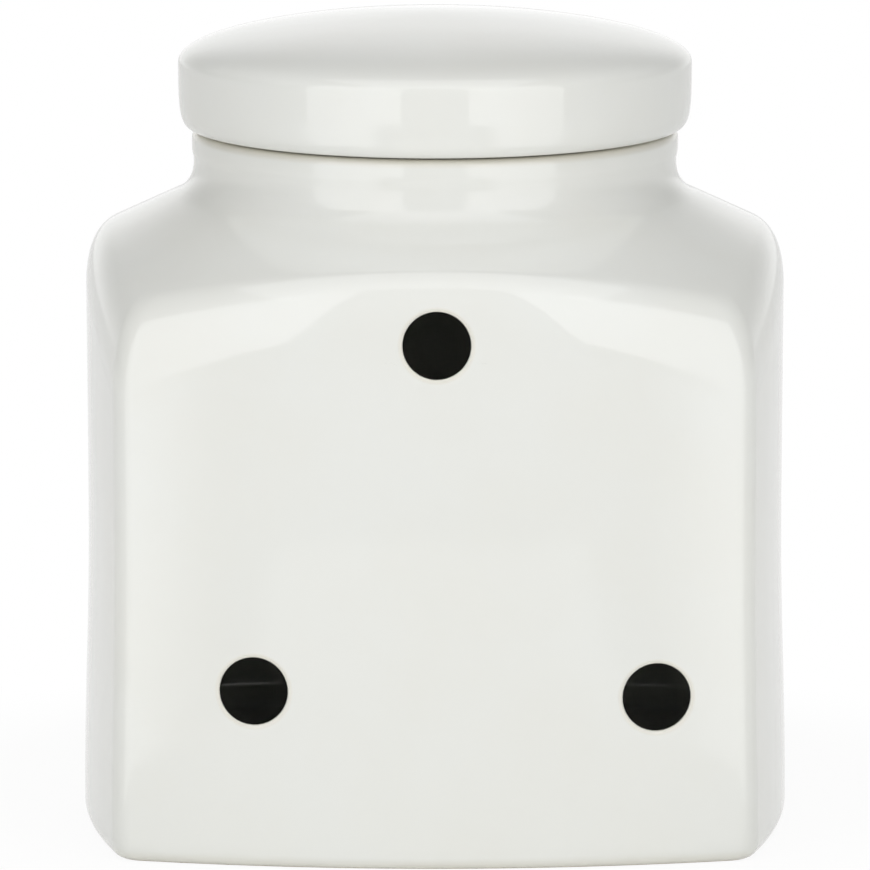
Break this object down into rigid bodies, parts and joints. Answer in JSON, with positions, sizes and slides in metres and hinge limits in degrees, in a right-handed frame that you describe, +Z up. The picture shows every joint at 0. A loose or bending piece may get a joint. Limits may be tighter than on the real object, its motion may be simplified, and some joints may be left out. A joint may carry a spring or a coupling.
{
  "type": "garlic keeper",
  "caption": "Square glazed ceramic jar with bowed faces, a round neck, vent holes through the front wall and a hollow domed disc lid whose spigot carries a seal ring.",
  "frame": {"origin": "centre of the jar's base, on the surface it stands on", "axes": "+Z up along the axis of the neck and the lid, -Y out of the front face with the vent holes, +X to the right seen from the front"},
  "size_m": [0.12, 0.12, 0.1361],
  "materials": {
    "jar_glaze": "glossy off-white glaze, bare clay on the foot ring",
    "lid_glaze": "glossy off-white glaze",
    "seal_silicone": "clear silicone, satin"
  },
  "bodies": {
    "jar": {"jar": "jar_glaze"},
    "lid_seal": {"lid_seal": "seal_silicone"},
    "lid": {"lid": "lid_glaze"}
  },
  "joints": [
    {"name": "lid_lift", "type": "slide", "parent": "jar", "child": "lid_seal", "axis": [0, 0, 1], "range_m": [0, 0.12]},
    {"name": "lid_turn", "type": "hinge", "parent": "lid_seal", "child": "lid", "pos_m": [0, 0, 0.1165], "axis": [0, 0, 1], "continuous": true}
  ]
}
